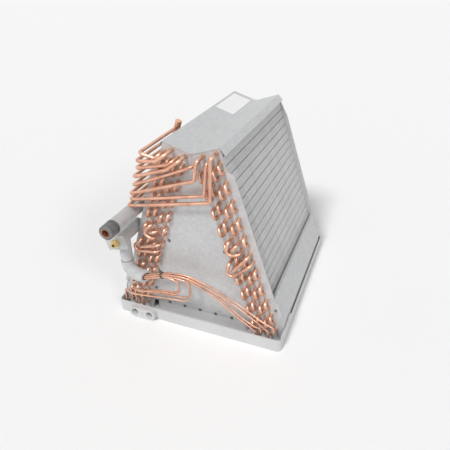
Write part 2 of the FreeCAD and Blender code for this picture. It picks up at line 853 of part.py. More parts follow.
def buildScrews():
    thick = size("sheetThickness")
    for end, face, outward in (("front", coilFront, -1), ("rear", coilBack, 1)):
        solids = [screwSolid(x, railScrewZ, face + outward * thick, outward)
                  for x in railScrewPlaces()]
        for side in ("left", "right"):
            for x, z in sideScrewPlaces(side):
                spot = slabPoint(side, x, 0, z)
                solids.append(screwSolid(spot.x, spot.z, face + outward * thick, outward))
        holdFeature(f"{end}_delta_screws", Part.makeCompound(solids))
    solids = []
    lift = size("guardGap") + size("guardThickness")
    for side in ("left", "right"):
        x, z = guardScrewPlace(side)
        spot = slabPoint(side, x, 0, z)
        solids.append(screwSolid(spot.x, spot.z, coilFront - lift, -1))
        solids.append(screwSolid(spot.x, spot.z, coilBack + lift, 1))
    holdFeature("guard_screws", Part.makeCompound(solids))


# Suction side: eight branch tubes, the header, and the suction line in its foam sleeve
headerY = coilFront + size("headerBehindFront")
suctionFace = coilFront - size("suctionReach")


def headerPoint(down, y=None):
    spot = outwardPoint("left", finDepth + size("headerOffset"), down)
    return Vector(spot.x, headerY if y is None else y, spot.z)


headerStart = headerPoint(0)
headerDrop = (headerStart.z - size("suctionHeight")) / math.cos(lean)
suctionCorner = headerPoint(headerDrop)


# Branches from the top of the header down: slab, row, how far down the header, and the knees between
# the stub and the header as steps from the stub, across and up
branches = [
    ("left", 3, 38, [(-11, -10)]),
    ("left", 2, 59, [(-30, -22)]),
    ("left", 1, 84, [(-14, -11)]),
    ("left", 0, 107, [(-38, -28)]),
    ("right", 3, 137, []),
    ("right", 2, 161, [(-4, -8), (-11.3, -52.5)]),
    ("right", 1, 183, [(-3, -9), (-11.1, -86)]),
    ("right", 0, 201, [(-3, -9), (-6.5, -117)]),
]


def branchJoint(down, y):
    spot = headerPoint(down)
    return Vector(spot.x, y, spot.z)


def buildSuctionTubes():
    """Each branch leaves its stub, runs across the front, and goes back along the slab to the header."""
    end = headerY - size("headerOd") / 2 + size("headerWall") * 0.8
    for index, (side, row, down, steps) in enumerate(branches):
        stub = slabPoint(side, tubeX(row), 0, tubeZ(row, 0))
        plane = coilFront - size("branchPlane") - (size("branchPlaneStep") if row % 2 == 0 else 0)
        points = [Vector(stub.x, seatFloor(), stub.z), Vector(stub.x, plane, stub.z)]
        points += [Vector(stub.x + dx, plane, stub.z + dz) for dx, dz in steps]
        points += [branchJoint(down, plane), branchJoint(down, end)]
        bend, knee = size("branchBend"), size("branchKneeBend")
        radii = [min(bend, limitAt(points, k, knee if 1 < k < len(points) - 2 else bend))
                 for k in range(1, len(points) - 1)]
        holdFeature(f"suction_tube_{index + 1}", sweptTube(points, radii, tubeRadius))


def limitAt(points, index, wanted, reach=None):
    """The wanted bend radius, or what the two runs beside the point, or the given reach, leave room for."""
    before = points[index] - points[index - 1]
    after = points[index + 1] - points[index]
    shorter = min(before.Length, after.Length)
    before.normalize()
    after.normalize()
    angle = math.acos(max(-1.0, min(1.0, before.dot(after))))
    room = 0.46 * shorter if reach is None else min(reach, 0.46 * shorter)
    return min(wanted, room / math.tan(angle / 2)) if angle > 1e-4 else wanted


def buildHeader():
    outer, inner = size("headerOd") / 2, size("headerOd") / 2 - size("headerWall")
    top = headerPoint(size("headerTop"))
    along = suctionCorner - top
    along.normalize()
    low = suctionCorner - along * (size("suctionBend") + size("headerCupGap") + 2)
    tube = rod(outer, top, low).cut(rod(inner, top - along, low + along))
    holes = []
    for _, _, down, _ in branches:
        joint = branchJoint(down, headerY)
        holes.append(rod(tubeRadius + size("collarClearance"), joint, joint - Vector(0, 2 * outer, 0)))
    holdFeature("suction_header", tube.cut(holes))

    plug = newBody("header_cap", Placement(top, Rotation(Vector(0, 0, 1), along * -1)))
    sketch = sketchOn(plug, "plug_profile", "XZ_Plane")
    thick, gap, deep = size("plugThickness"), size("headerCupGap"), size("plugDepth")
    rim, crown = outer + size("plugLap"), thick + size("plugCrown")
    drawPolygon(sketch, [(0, -deep), (inner - gap, -deep), (inner - gap, gap), (rim, gap), (rim, thick),
                         (outer - size("plugBevel"), crown), (0, crown)])
    turn = plug.newObject("PartDesign::Revolution", "plug_turn")
    turn.Profile = sketch
    turn.ReferenceAxis = (sketch, ["V_Axis"])
    turn.Angle = 360
    plug.Tip = turn


def buildSuctionLine():
    """The elbow under the header, the straight line to the front and its open socket."""
    outer, wall = size("suctionOd") / 2, size("suctionWall")
    along = suctionCorner - headerPoint(size("headerTop"))
    along.normalize()
    bend = size("suctionBend")
    cupTop = suctionCorner - along * (bend + size("headerCup"))
    socketBack = suctionFace + size("socketDepth")
    points = [suctionCorner - along * bend, suctionCorner,
              Vector(suctionCorner.x, socketBack, suctionCorner.z)]
    radii = [bend * 0.9999]
    tube = sweptTube(points, radii, outer).cut(sweptTube(points, radii, outer - wall))
    headerOuter = size("headerOd") / 2 + size("headerCupGap")
    cup = rod(outer, cupTop, points[0]).cut(rod(headerOuter, cupTop - along, points[0] + along))
    end = Vector(suctionCorner.x, suctionFace, suctionCorner.z)
    socketOuter = size("socketRadius") + size("socketWall")
    socket = rod(socketOuter, end, points[-1]).cut(rod(size("socketRadius"), end - Vector(0, 1, 0), points[-1]))
    shoulder = rod(socketOuter, points[-1], points[-1] + Vector(0, 1.5, 0)).cut(
        rod(outer - wall, points[-1] - Vector(0, 1, 0), points[-1] + Vector(0, 3, 0)))
    holdFeature("suction_line", tube.fuse([cup, socket, shoulder]).removeSplitter())


def ringAlongY(label, x, z, profile):
    """A turned ring about an axis parallel to Y. The profile holds radius and y, nearest to the front first."""
    body = newBody(label, Placement(Vector(x, 0, z), Rotation()))
    sketch = sketchOn(body, label + "_profile", "XY_Plane")
    drawPolygon(sketch, profile)
    turn = body.newObject("PartDesign::Revolution", label + "_turn")
    turn.Profile = sketch
    turn.ReferenceAxis = (sketch, ["V_Axis"])
    turn.Angle = 360
    body.Tip = turn
    return body


def buildSuctionCovers():
    x, z = suctionCorner.x, suctionCorner.z
    bore = size("suctionOd") / 2 + size("sleeveGap")
    socket = size("socketRadius") + size("socketWall") + size("sleeveGap")
    front = coilFront - size("sleeveFront")
    back = headerY - size("suctionBend") - 4
    edge = size("sleeveEdge")
    ringAlongY("suction_sleeve", x, z, [
        (bore, front), (size("sleeveRadius") - edge, front), (size("sleeveRadius"), front + edge),
        (size("sleeveRadius"), back - edge), (size("sleeveRadius") - edge, back), (bore, back)])
    face = coilFront - size("grommetFace")
    groove = face + size("grommetBody")
    rear = groove + size("grommetGroove")
    end = rear + size("grommetRearLength")
    step = suctionFace + size("socketDepth") + 1.5 + size("sleeveGap")
    outer, neck, wide = size("grommetRadius"), size("grommetNeck"), size("grommetRear")
    ringAlongY("suction_grommet", x, z, [
        (socket, face), (outer - 1.5, face), (outer, face + 1.5), (outer, groove), (neck, groove), (neck, rear),
        (wide, rear), (wide, end), (bore, end), (bore, step), (socket, step)])


# Liquid side: plate and fitting, valve in its foam, distributor in a foam drop and elbow


def sheetEdgeX(height):
    """How far out a tube sheet's outer edge stands at a height above the pan's underside."""
    base = slabPoint("right", finDepth + size("sheetOuterMargin"), 0, 0)
    return base.x - (height - base.z) * math.tan(lean)


liquidZ = size("suctionHeight") - size("liquidDrop")
liquidX = -sheetEdgeX(liquidZ) - size("liquidAside")
dropZ = liquidZ - size("dropLength")
elbowZ = dropZ - size("elbowDrop")
plateFront = coilFront - size("plateReach")
dropX = liquidX + size("dropShift")
elbowEndX = dropX + size("elbowReach")
dropY = coilFront - size("dropReach")


def buildLiquidParts():
    tail = size("fittingTail")
    gap = size("valveGap")
    thick = size("plateThickness")
    plate = newBody("liquid_plate", Placement(
        Vector(liquidX, plateFront, liquidZ), Rotation(Vector(0, 1, 0), -size("plateTurn"))))
    sketch = sketchOn(plate, "plate_outline", "XZ_Plane")
    drawRoundedRectangle(sketch, size("plateWidth") / 2, size("plateHeight") / 2, 2)
    drawCircle(sketch, 0, 0, "sizes.fittingTail + sizes.screwHoleClearance", tail + size("screwHoleClearance"))
    padOf(plate, sketch, "sizes.plateThickness", True)

    # Brass fitting: a turned nose, a hexagon against the plate and a tail through it
    hexFront = plateFront - size("fittingHexLength")
    noseFront = hexFront - size("fittingNoseLength")
    tailEnd = plateFront + size("fittingTailLength")
    corner = size("fittingHex") / math.sqrt(3)
    corners = [Vector(liquidX + corner * math.cos(math.radians(60 * k + size("plateTurn"))), plateFront,
                      liquidZ + corner * math.sin(math.radians(60 * k + size("plateTurn")))) for k in range(7)]
    hexagon = Part.Face(Part.makePolygon(corners)).extrude(Vector(0, hexFront - plateFront, 0))
    nose = alongY(size("fittingNose"), liquidX, liquidZ, hexFront, noseFront)
    stem = alongY(tail, liquidX, liquidZ, plateFront, tailEnd)
    bore = alongY(size("fittingBore"), liquidX, liquidZ, noseFront - 1, noseFront + size("fittingBoreDepth"))
    holdFeature("liquid_fitting", hexagon.fuse([nose, stem]).removeSplitter().cut(bore))

    # Valve body: a turned brass body that takes the fitting's tail and feeds the outlet tube below it
    bodyFront = plateFront + thick + gap
    bodyEnd = bodyFront + size("valveLength")
    radius = size("valveRadius")
    body = alongY(radius, liquidX, liquidZ, bodyFront, bodyEnd)
    neck = size("outletRadius") + 3
    boss = rod(neck, Vector(dropX, dropY, liquidZ), Vector(dropX, dropY, liquidZ - radius - 5))
    seat = rod(size("outletRadius") + gap, Vector(dropX, dropY, liquidZ - radius),
               Vector(dropX, dropY, liquidZ - radius - 6))
    cavity = alongY(tail + size("screwHoleClearance"), liquidX, liquidZ, bodyFront - 1, tailEnd + gap)
    holdFeature("valve_body", body.fuse(boss).removeSplitter().cut([seat, cavity]))

    # Foam round the valve, closed at the back, with a hole for the drop below
    sleeveEnd = bodyFront + size("valveSleeveLength")
    foam = alongY(size("valveSleeveRadius"), liquidX, liquidZ, bodyFront, sleeveEnd)
    hollow = alongY(radius + gap, liquidX, liquidZ, bodyFront - 1, bodyEnd + gap)
    drop = rod(neck + gap, Vector(dropX, dropY, liquidZ), Vector(dropX, dropY, liquidZ - 40))
    rounded = foam.makeFillet(5, [e for e in foam.Edges if abs(e.BoundBox.YMin - sleeveEnd) < 1e-6
                                  and e.BoundBox.YLength < 1e-6])
    holdFeature("valve_sleeve", rounded.cut([hollow, drop]))

    # Vertical foam sleeve: its top is coped to the foam above it
    top = Vector(dropX, dropY, liquidZ)
    bottom = Vector(dropX, dropY, dropZ)
    bore = size("dropSleeveBore")
    pipe = rod(size("dropSleeveRadius"), bottom, top).cut(rod(bore, bottom - Vector(0, 0, 1), top))
    cope = alongY(size("valveSleeveRadius") + gap, liquidX, liquidZ, bodyFront - 60, sleeveEnd + 60)
    holdFeature("distributor_sleeve", pipe.cut(cope))

    # Elbow sleeve
    start = Vector(dropX, dropY, dropZ - gap)
    turn = Vector(dropX, dropY, elbowZ)
    end = Vector(elbowEndX, dropY - size("elbowShift"), elbowZ)
    bend = [size("elbowBend")]
    elbow = sweptTube([start, turn, end], bend, size("elbowSleeveRadius"))
    holdFeature("elbow_sleeve", elbow.cut(sweptTube([start, turn, end], bend, bore)))

    # Outlet tube from the valve to the distributor, and the distributor
    outward = end - turn
    outward.normalize()
    nozzleFront = end - outward * size("distributorInset")
    nozzleBack = nozzleFront - outward * size("distributorLength")
    seatTop = Vector(dropX, dropY, liquidZ - radius - gap)
    holdFeature("outlet_tube", sweptTube(
        [seatTop, turn, nozzleBack + outward * 6], [size("outletBend")], size("outletRadius")))
    wide = size("distributorRadius")
    cone = Part.makeCone(size("outletRadius") + 2, wide, size("distributorLength") * 0.6, nozzleBack, outward)
    drum = rod(wide, nozzleBack + outward * size("distributorLength") * 0.6, nozzleFront)
    inlet = rod(size("outletRadius") + gap, nozzleBack - outward, nozzleBack + outward * 6.3)
    seats = [rod(size("feederOd") / 2 + size("feederClearance"), spot + outward,
                 spot - outward * size("feederSocket")) for spot in clusterPoints(nozzleFront, outward)]
    holdFeature("distributor", cone.fuse(drum).removeSplitter().cut([inlet] + seats))
    return nozzleFront, outward


def clusterOffsets():
    """One tube in the middle and seven round it, as steps towards the back and up."""
    ring = size("clusterRadius")
    spots = [(0.0, 0.0)]
    for k in range(7):
        angle = math.radians(90 + k * 360 / 7)
        spots.append((ring * math.cos(angle), ring * math.sin(angle)))
    return spots


def clusterPoints(centre, outward):
    across = Vector(0, 0, 1).cross(outward)
    return [centre + across * dy + Vector(0, 0, dz) for dy, dz in clusterOffsets()]


# Feeder tubes
def buildFeeders(nozzleFront, outward):
    """Four arc across to the right slab's lowest tubes, four loop back to the left slab's."""
    radius = size("feederOd") / 2
    dropPlane = coilFront - size("feederDropPlane")
    seat = coilFront - size("bellRoot") - 0.3
    bundle = nozzleFront + outward * size("bundleStraight")
    tieEnd = bundle + Vector(1, 0, math.tan(math.radians(size("bundleRise")))) * size("bundleLength")
    offsets = clusterOffsets()
    starts = clusterPoints(nozzleFront - outward * (size("feederSocket") - 0.4), outward)
    solids = {}

    def bundleRun(spot):
        dy, dz = offsets[spot]
        return [starts[spot], bundle + Vector(0, dy, dz), tieEnd + Vector(0, dy, dz)]

    # Arcs to the right slab: place in the bundle, slab row, and the route across and above the elbow
    arcs = [
        (1, 0, [(-14, 40), (62, 15), (138, -28), (206, -76)]),
        (2, 1, [(-16, 36), (58, 9), (132, -34), (196, -84)]),
        (7, 2, [(-18, 33), (60, -1), (100, -36), (140, -74), (180, -102)]),
        (0, 3, [(-24, 29), (56, -5), (96, -42), (136, -80), (168, -106)]),
    ]
    for spot, row, route in arcs:
        end = slabPoint("right", tubeX(row), 0, tubeZ(row, lastTube))
        y = bundle.y + offsets[spot][0]
        points = bundleRun(spot)
        for step, (x, z) in enumerate(route):
            share = max(0.0, (step - 0.5) / (len(route) - 0.5))
            points.append(Vector(x, y + (dropPlane - y) * share, elbowZ + z))
        points += [Vector(end.x, dropPlane, end.z + size("feederDrop")), Vector(end.x, dropPlane, end.z),
                   Vector(end.x, seat, end.z)]
        solids[spot] = points
    # Loops to the left slab: place in the bundle, slab row, how far the loop reaches, the steps up to its
    # turn, and how far below the elbow its lowest point and its return run are
    loops = [
        (6, 0, -6, [(-34, 2), (0, -2)], 48, 62),
        (5, 1, -38, [(0, -8)], 34, 62),
        (4, 2, -34, [(0, -8)], 36, 62),
        (3, 3, -2, [(-34, 2), (0, -2)], 50, 74),
    ]
    for spot, row, reach, steps, lowDrop, runDrop in loops:
        low, run = elbowZ - lowDrop, elbowZ - runDrop
        end = slabPoint("left", tubeX(row), 0, tubeZ(row, lastTube))
        dy, dz = offsets[spot]
        y = bundle.y + dy
        points = bundleRun(spot)
        points += [Vector(reach + dx, y, tieEnd.z + dz + up) for dx, up in steps]
        points += [Vector(reach, y, low), Vector(reach - 60, y, low - 4), Vector(end.x + 40, y, run),
                   Vector(end.x, dropPlane, run - 12), Vector(end.x, dropPlane, end.z),
                   Vector(end.x, seat, end.z)]
        solids[spot] = points
    for index, spot in enumerate(sorted(solids)):
        points = solids[spot]
        radii = [limitAt(points, k, size("feederSweep") if k < len(points) - 3 else size("feederBend"),
                         size("bundleEase") if k == 2 else None) for k in range(1, len(points) - 1)]
        holdFeature(f"feeder_tube_{index + 1}", sweptTube(points, radii, radius))


def buildCableTie(nozzleFront, outward):
    """A closed band round the bundle with its ratchet head on top."""
    slope = math.radians(size("bundleRise"))
    inner = size("clusterRadius") + size("feederOd") / 2 + size("tieGap")
    outer = inner + size("tieWall")
    half = size("tieHalfWidth")
    band = rod(outer, Vector(-half, 0, 0), Vector(half, 0, 0)).cut(
        rod(inner, Vector(-half - 1, 0, 0), Vector(half + 1, 0, 0)))
    head = Part.makeBox(2 * half + 1.6, 6.5, 4.4, Vector(-half - 0.8, -3.2, outer - 0.6))
    tail = Part.makeBox(2 * half - 0.8, 1.2, 11, Vector(-half + 0.4, 0.2, outer))
    bundle = nozzleFront + outward * size("bundleStraight")
    along = elbowEndX + size("tieReach") - bundle.x
    place = Placement(
        bundle + Vector(along, 0, along * math.tan(slope)), Rotation(Vector(0, 1, 0), -size("bundleRise")))
    holdFeature("cable_tie", band.fuse([head, tail]).removeSplitter(), place)


buildDrainPan()
buildFinPacks()
buildTubeSheets()
buildHairpins()
buildReturnBends()
buildCrossovers()
buildTopCap()
buildDeltaPlates()
buildSplashGuards()
buildScrews()
buildSuctionTubes()
buildHeader()
buildSuctionLine()
buildSuctionCovers()
nozzleFace, nozzleDirection = buildLiquidParts()
buildFeeders(nozzleFace, nozzleDirection)
buildCableTie(nozzleFace, nozzleDirection)
doc.recompute()

problems = [item.Name for item in doc.Objects if "Invalid" in item.State or "Error" in item.State]
for part in subParts:
    if part.Shape.isNull() or not part.Shape.isValid() or part.Shape.Volume <= 0:
        problems.append(part.Label)
if problems:
    raise SystemExit("failed objects: " + ", ".join(problems))

os.makedirs("parts", exist_ok=True)
for part in subParts:
    part.Shape.exportStep(f"parts/{part.Label}.step")
    print(part.Label, len(part.Shape.Solids), round(part.Shape.Volume))
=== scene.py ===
import json
import math
import random

import bmesh
import bpy
from mathutils import Matrix, Vector


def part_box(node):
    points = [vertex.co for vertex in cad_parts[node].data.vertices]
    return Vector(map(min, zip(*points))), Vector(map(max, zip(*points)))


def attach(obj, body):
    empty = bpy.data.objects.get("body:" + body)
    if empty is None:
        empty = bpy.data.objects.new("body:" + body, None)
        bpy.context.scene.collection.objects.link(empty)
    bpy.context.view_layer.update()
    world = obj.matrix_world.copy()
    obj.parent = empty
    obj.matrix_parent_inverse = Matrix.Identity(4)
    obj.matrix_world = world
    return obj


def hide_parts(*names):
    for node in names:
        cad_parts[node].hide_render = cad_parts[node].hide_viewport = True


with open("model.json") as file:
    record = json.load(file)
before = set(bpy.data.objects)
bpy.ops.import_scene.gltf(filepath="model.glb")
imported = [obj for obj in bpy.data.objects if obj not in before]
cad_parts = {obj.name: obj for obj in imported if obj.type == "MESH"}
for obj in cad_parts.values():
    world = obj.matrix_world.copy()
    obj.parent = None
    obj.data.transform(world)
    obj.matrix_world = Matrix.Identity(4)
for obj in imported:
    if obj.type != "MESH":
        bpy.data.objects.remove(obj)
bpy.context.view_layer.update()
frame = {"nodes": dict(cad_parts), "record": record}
mm = 0.001
print("coil frame loaded,", len(frame["nodes"]), "nodes")

# the coil sizes of the CAD model, in millimetres
coil = {
    "lean": math.radians(18.2),
    "apexHalfGap": 3.6,
    "seatHeight": 8,
    "front": -252,
    "sheetThickness": 1.2,
    "tubePitch": 25.4,
    "rowPitch": 19.05,
    "rows": 4,
    "tubes": 22,
    "finPitch": 2.54,
    "finCount": 200,
}
finDepth = coil["rowPitch"] * coil["rows"]
finLength = coil["tubePitch"] * coil["tubes"]
slabBaseX = coil["apexHalfGap"] + finLength * math.sin(coil["lean"])


def slabPoint(side, x, y, z):
    # from a slab's own axes to the coil's: x across the rows, y back, z up along the fins
    c, s = math.cos(coil["lean"]), math.sin(coil["lean"])
    if side == "right":
        return Vector((slabBaseX + x * c - z * s, y, coil["seatHeight"] + x * s + z * c))
    startX = -slabBaseX - finDepth * c
    startZ = coil["seatHeight"] + finDepth * s
    return Vector((startX + x * c + z * s, y, startZ - x * s + z * c))


def tubePlace(row, tube):
    x = finDepth - coil["rowPitch"] * (row + 0.5)
    first = coil["tubePitch"] * (0.25 if row % 2 == 0 else 0.75)
    return x, finLength - first - tube * coil["tubePitch"]


# finishes: every noise reads object coordinates, which are the coil's own frame in metres
def newFinish(name, colour, metallic, roughness):
    material = bpy.data.materials.new(name)
    material.use_nodes = True
    shader = material.node_tree.nodes["Principled BSDF"]
    shader.inputs["Base Color"].default_value = (*colour, 1)
    shader.inputs["Metallic"].default_value = metallic
    shader.inputs["Roughness"].default_value = roughness
    return material, material.node_tree, shader


def addNoise(tree, scale, detail=3, stretch=(1, 1, 1), cells=False):
    place = tree.nodes.new("ShaderNodeTexCoord")
    mapping = tree.nodes.new("ShaderNodeMapping")
    mapping.inputs["Scale"].default_value = stretch
    noise = tree.nodes.new("ShaderNodeTexVoronoi" if cells else "ShaderNodeTexNoise")
    noise.inputs["Scale"].default_value = scale
    if not cells:
        noise.inputs["Detail"].default_value = detail
    tree.links.new(place.outputs["Object"], mapping.inputs["Vector"])
    tree.links.new(mapping.outputs["Vector"], noise.inputs["Vector"])
    return noise


def addTones(tree, source, stops):
    ramp = tree.nodes.new("ShaderNodeValToRGB")
    ends = ramp.color_ramp.elements
    ends[0].position, ends[0].color = stops[0]
    ends[1].position, ends[1].color = stops[-1]
    for position, tone in stops[1:-1]:
        ends.new(position).color = tone
    tree.links.new(source, ramp.inputs["Fac"])
    return ramp.outputs["Color"]


def grey(value, blue=0.0):
    return value - blue, value, value + blue, 1


def blend(tree, shader, socket, source, stops):
    tree.links.new(addTones(tree, source, stops), shader.inputs[socket])


def greys(dark, light, low=0.3, high=0.7, blue=0.0):
    # two greys and where they stand along the noise
    return [(low, grey(dark, blue)), (high, grey(light, blue))]


def addBump(tree, shader, source, strength, distance):
    bump = tree.nodes.new("ShaderNodeBump")
    bump.inputs["Strength"].default_value = strength
    bump.inputs["Distance"].default_value = distance
    tree.links.new(source, bump.inputs["Height"])
    tree.links.new(bump.outputs["Normal"], shader.inputs["Normal"])


galvanisedLook = {"base": (0.67, 0.68, 0.69), "light": 0.60, "dark": 0.53, "blue": 0.006, "metal": 0.3,
                  "roughness": (0.38, 0.54), "spangleSize": 130, "cloudSize": 14, "grain": 900,
                  "bump": (0.12, 0.0002)}


def makeGalvanised():
    look = galvanisedLook
    material, tree, shader = newFinish("galvanisedSheet", look["base"], look["metal"], 0.44)
    spangle = addNoise(tree, look["spangleSize"], cells=True).outputs["Color"]
    blend(tree, shader, "Base Color", spangle, greys(look["dark"], look["light"], 0.1, 0.9, look["blue"]))
    cloud = addNoise(tree, look["cloudSize"], 4).outputs["Fac"]
    blend(tree, shader, "Roughness", cloud, greys(*look["roughness"], high=0.75))
    addBump(tree, shader, addNoise(tree, look["grain"], 2).outputs["Fac"], *look["bump"])
    return material


copperLook = {"bright": (0.82, 0.50, 0.37, 1), "warm": (0.72, 0.40, 0.28, 1), "dull": (0.45, 0.25, 0.18, 1),
              "metal": 0.9, "roughness": (0.24, 0.44), "cloudSize": 34, "smearSize": 120, "grain": 700,
              "bump": (0.08, 0.0002)}


def makeCopper():
    look = copperLook
    material, tree, shader = newFinish("drawnCopper", look["bright"][:3], look["metal"], 0.32)
    cloud = addNoise(tree, look["cloudSize"], 5).outputs["Fac"]
    tones = [(0.26, look["dull"]), (0.42, look["warm"]), (0.64, look["bright"])]
    blend(tree, shader, "Base Color", cloud, tones)
    smear = addNoise(tree, look["smearSize"], 3).outputs["Fac"]
    blend(tree, shader, "Roughness", smear, greys(*look["roughness"], high=0.8))
    addBump(tree, shader, addNoise(tree, look["grain"], 2).outputs["Fac"], *look["bump"])
    return material


brazeLook = {"base": (0.62, 0.47, 0.33), "scorched": (0.28, 0.18, 0.13, 1), "silver": (0.68, 0.55, 0.42, 1),
             "metal": 0.85, "roughness": 0.45, "cloudSize": 260, "bump": (0.5, 0.0004)}


def makeBraze():
    look = brazeLook
    material, tree, shader = newFinish("brazedJoint", look["base"], look["metal"], look["roughness"])
    cloud = addNoise(tree, look["cloudSize"], 4).outputs["Fac"]
    blend(tree, shader, "Base Color", cloud, [(0.32, look["scorched"]), (0.6, look["silver"])])
    addBump(tree, shader, cloud, *look["bump"])
    return material


finLook = {"base": (0.76, 0.77, 0.78), "dark": 0.70, "light": 0.84, "metal": 0.25, "roughness": 0.42,
           "leafSize": 60, "grain": 500, "bump": (0.15, 0.0002)}


def makeFinFoil():
    look = finLook
    material, tree, shader = newFinish("finFoil", look["base"], look["metal"], look["roughness"])
    leaf = addNoise(tree, look["leafSize"], 2, (0.05, 6, 0.05)).outputs["Fac"]  # changes from fin to fin
    blend(tree, shader, "Base Color", leaf, greys(look["dark"], look["light"]))
    addBump(tree, shader, addNoise(tree, look["grain"], 2, (1, 0.2, 1)).outputs["Fac"], *look["bump"])
    return material


panLook = {"base": (0.8, 0.81, 0.81), "light": 0.62, "shade": 0.56, "blue": 0.003, "roughness": (0.42, 0.56),
           "flowSize": 7, "rubSize": 40, "grain": 1600, "bump": (0.18, 0.0002)}


def makePanPlastic():
    look = panLook
    material, tree, shader = newFinish("mouldedPan", look["base"], 0.0, 0.48)
    flow = addNoise(tree, look["flowSize"], 4).outputs["Fac"]
    blend(tree, shader, "Base Color", flow, greys(look["shade"], look["light"], blue=look["blue"]))
    rub = addNoise(tree, look["rubSize"], 5).outputs["Fac"]
    blend(tree, shader, "Roughness", rub, greys(*look["roughness"]))
    addBump(tree, shader, addNoise(tree, look["grain"], 2).outputs["Fac"], *look["bump"])
    return material


foamLook = {"base": (0.44, 0.45, 0.46), "light": 0.60, "dark": 0.48, "blue": 0.005, "roughness": 0.88,
            "sheen": 0.2, "cloudSize": 45, "cells": 850, "bump": (0.55, 0.0006)}


def makeFoam():
    look = foamLook
    material, tree, shader = newFinish("closedCellFoam", look["base"], 0.0, look["roughness"])
    shader.inputs["Sheen Weight"].default_value = look["sheen"]
    cloud = addNoise(tree, look["cloudSize"], 5).outputs["Fac"]
    blend(tree, shader, "Base Color", cloud, greys(look["dark"], look["light"], blue=look["blue"]))
    cells = addNoise(tree, look["cells"], cells=True).outputs["Distance"]
    addBump(tree, shader, cells, *look["bump"])
    return material


mottling = {"fineScale": 2.3, "smoother": 0.07, "rougher": 0.09, "bumpDepth": 0.0003}


def makeMottled(name, dark, light, metallic, roughness, scale, bump=0.15):
    middle = tuple((a + b) / 2 for a, b in zip(dark[:3], light[:3]))
    material, tree, shader = newFinish(name, middle, metallic, roughness)
    cloud = addNoise(tree, scale, 4).outputs["Fac"]
    blend(tree, shader, "Base Color", cloud, [(0.3, dark), (0.7, light)])
    fine = addNoise(tree, scale * mottling["fineScale"], 3).outputs["Fac"]
    gloss = greys(roughness - mottling["smoother"], roughness + mottling["rougher"])
    blend(tree, shader, "Roughness", fine, gloss)
    addBump(tree, shader, cloud, bump, mottling["bumpDepth"])
    return material


finishes = {
    "galvanised": makeGalvanised(),
    "copper": makeCopper(),
    "braze": makeBraze(),
    "fins": makeFinFoil(),
    "pan": makePanPlastic(),
    "foam": makeFoam(),
    "rubber": makeMottled("grommetRubber", grey(0.13), grey(0.20), 0.0, 0.55, 90),
    "brass": makeMottled("turnedBrass", (0.62, 0.46, 0.22, 1), (0.83, 0.68, 0.39, 1), 0.9, 0.3, 150),
    "tie": makeMottled("tieNylon", grey(0.07), grey(0.14), 0.0, 0.42, 300, 0.1),
    "screw": makeMottled("screwZinc", grey(0.16), grey(0.32), 0.8, 0.4, 500),
    "label": makeMottled("blankLabel", grey(0.86), grey(0.92), 0.0, 0.42, 30, 0.05),
}
slotOf = {entry["node"]: entry["material_slot"] for entry in frame["record"]["subparts"]}
for node, piece in frame["nodes"].items():
    for place in piece.material_slots:
        place.material = finishes[slotOf[node]]
print("finishes on the CAD nodes")


# mesh helpers: points are given in millimetres
def addPiece(name, points, faces, finish, smooth=True, edgeAngle=40):
    mesh = bpy.data.meshes.new(name)
    mesh.from_pydata([tuple(p * mm) for p in points], [], faces)
    shaped = bmesh.new()
    shaped.from_mesh(mesh)
    bmesh.ops.recalc_face_normals(shaped, faces=shaped.faces)
    for face in shaped.faces:
        face.smooth = smooth
    for edge in shaped.edges:
        if smooth and len(edge.link_faces) == 2 and edge.calc_face_angle() > math.radians(edgeAngle):
            edge.smooth = False
    shaped.to_mesh(mesh)
    shaped.free()
    mesh.materials.append(finishes[finish])
    piece = bpy.data.objects.new(name, mesh)
    bpy.context.scene.collection.objects.link(piece)
    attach(piece, "root")
    return piece


def ringFaces(first, second, count):
    after = [*range(1, count), 0]
    return [(first + k, first + n, second + n, second + k) for k, n in enumerate(after)]


def addTorus(points, faces, centre, axis, major, minor, around=18, section=6):
    side = axis.orthogonal().normalized()
    other = axis.cross(side)
    start = len(points)
    for a in range(around):
        angle = 2 * math.pi * a / around
        out = side * math.cos(angle) + other * math.sin(angle)
        for b in range(section):
            turn = 2 * math.pi * b / section
            points.append(centre + out * (major + minor * math.cos(turn)) + axis * (minor * math.sin(turn)))
    for a in range(around):
        faces.extend(ringFaces(start + a * section, start + (a + 1) % around * section, section))


def inMillimetres(box):
    return [corner / mm for corner in box]


# thin fins in place of the slotted blocks: the notches in their edges line up into rows along the coil
fins = {"thickness": 0.9, "notchDepth": 5.5, "notchHalf": 2.2, "unevenEdge": 0.15, "firstNotch": 18}


def makeFins(side):
    places = [finLength - fins["firstNotch"] - coil["tubePitch"] * k for k in range(coil["tubes"])]
    half, deep = fins["notchHalf"], fins["notchDepth"]
    outline = [(finDepth, finLength)]
    for z in places:
        outline += [(finDepth, z + half), (finDepth - deep, z), (finDepth, z - half)]
    outline += [(finDepth, 0), (0, 0)]
    for z in places[::-1]:
        outline += [(0, z - half), (deep, z), (0, z + half)]
    outline.append((0, finLength))
    size = len(outline)
    start = coil["front"] + coil["sheetThickness"] + coil["finPitch"] / 2
    uneven = random.Random(side)
    points, faces = [], []
    for index in range(coil["finCount"]):
        inset = uneven.uniform(0, fins["unevenEdge"])
        base = len(points)
        for shift in (-fins["thickness"] / 2, fins["thickness"] / 2):
            y = start + index * coil["finPitch"] + shift
            for x, z in outline:
                points.append(slabPoint(side, x + (inset if x < finDepth / 2 else -inset), y, z))
        for k in range(size // 2 - 1):  # across the fin, from one edge's notches to the other's
            across = (k, k + 1, size - 2 - k, size - 1 - k)
            faces.append(tuple(base + a for a in across))
            faces.append(tuple(base + size + a for a in across[::-1]))
        faces.extend(ringFaces(base, base + size, size))
    piece = addPiece(side + "Fins", points, faces, "fins", smooth=False)
    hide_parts(side + "_fin_pack")


for side in ("left", "right"):
    makeFins(side)
print("thin fins made")

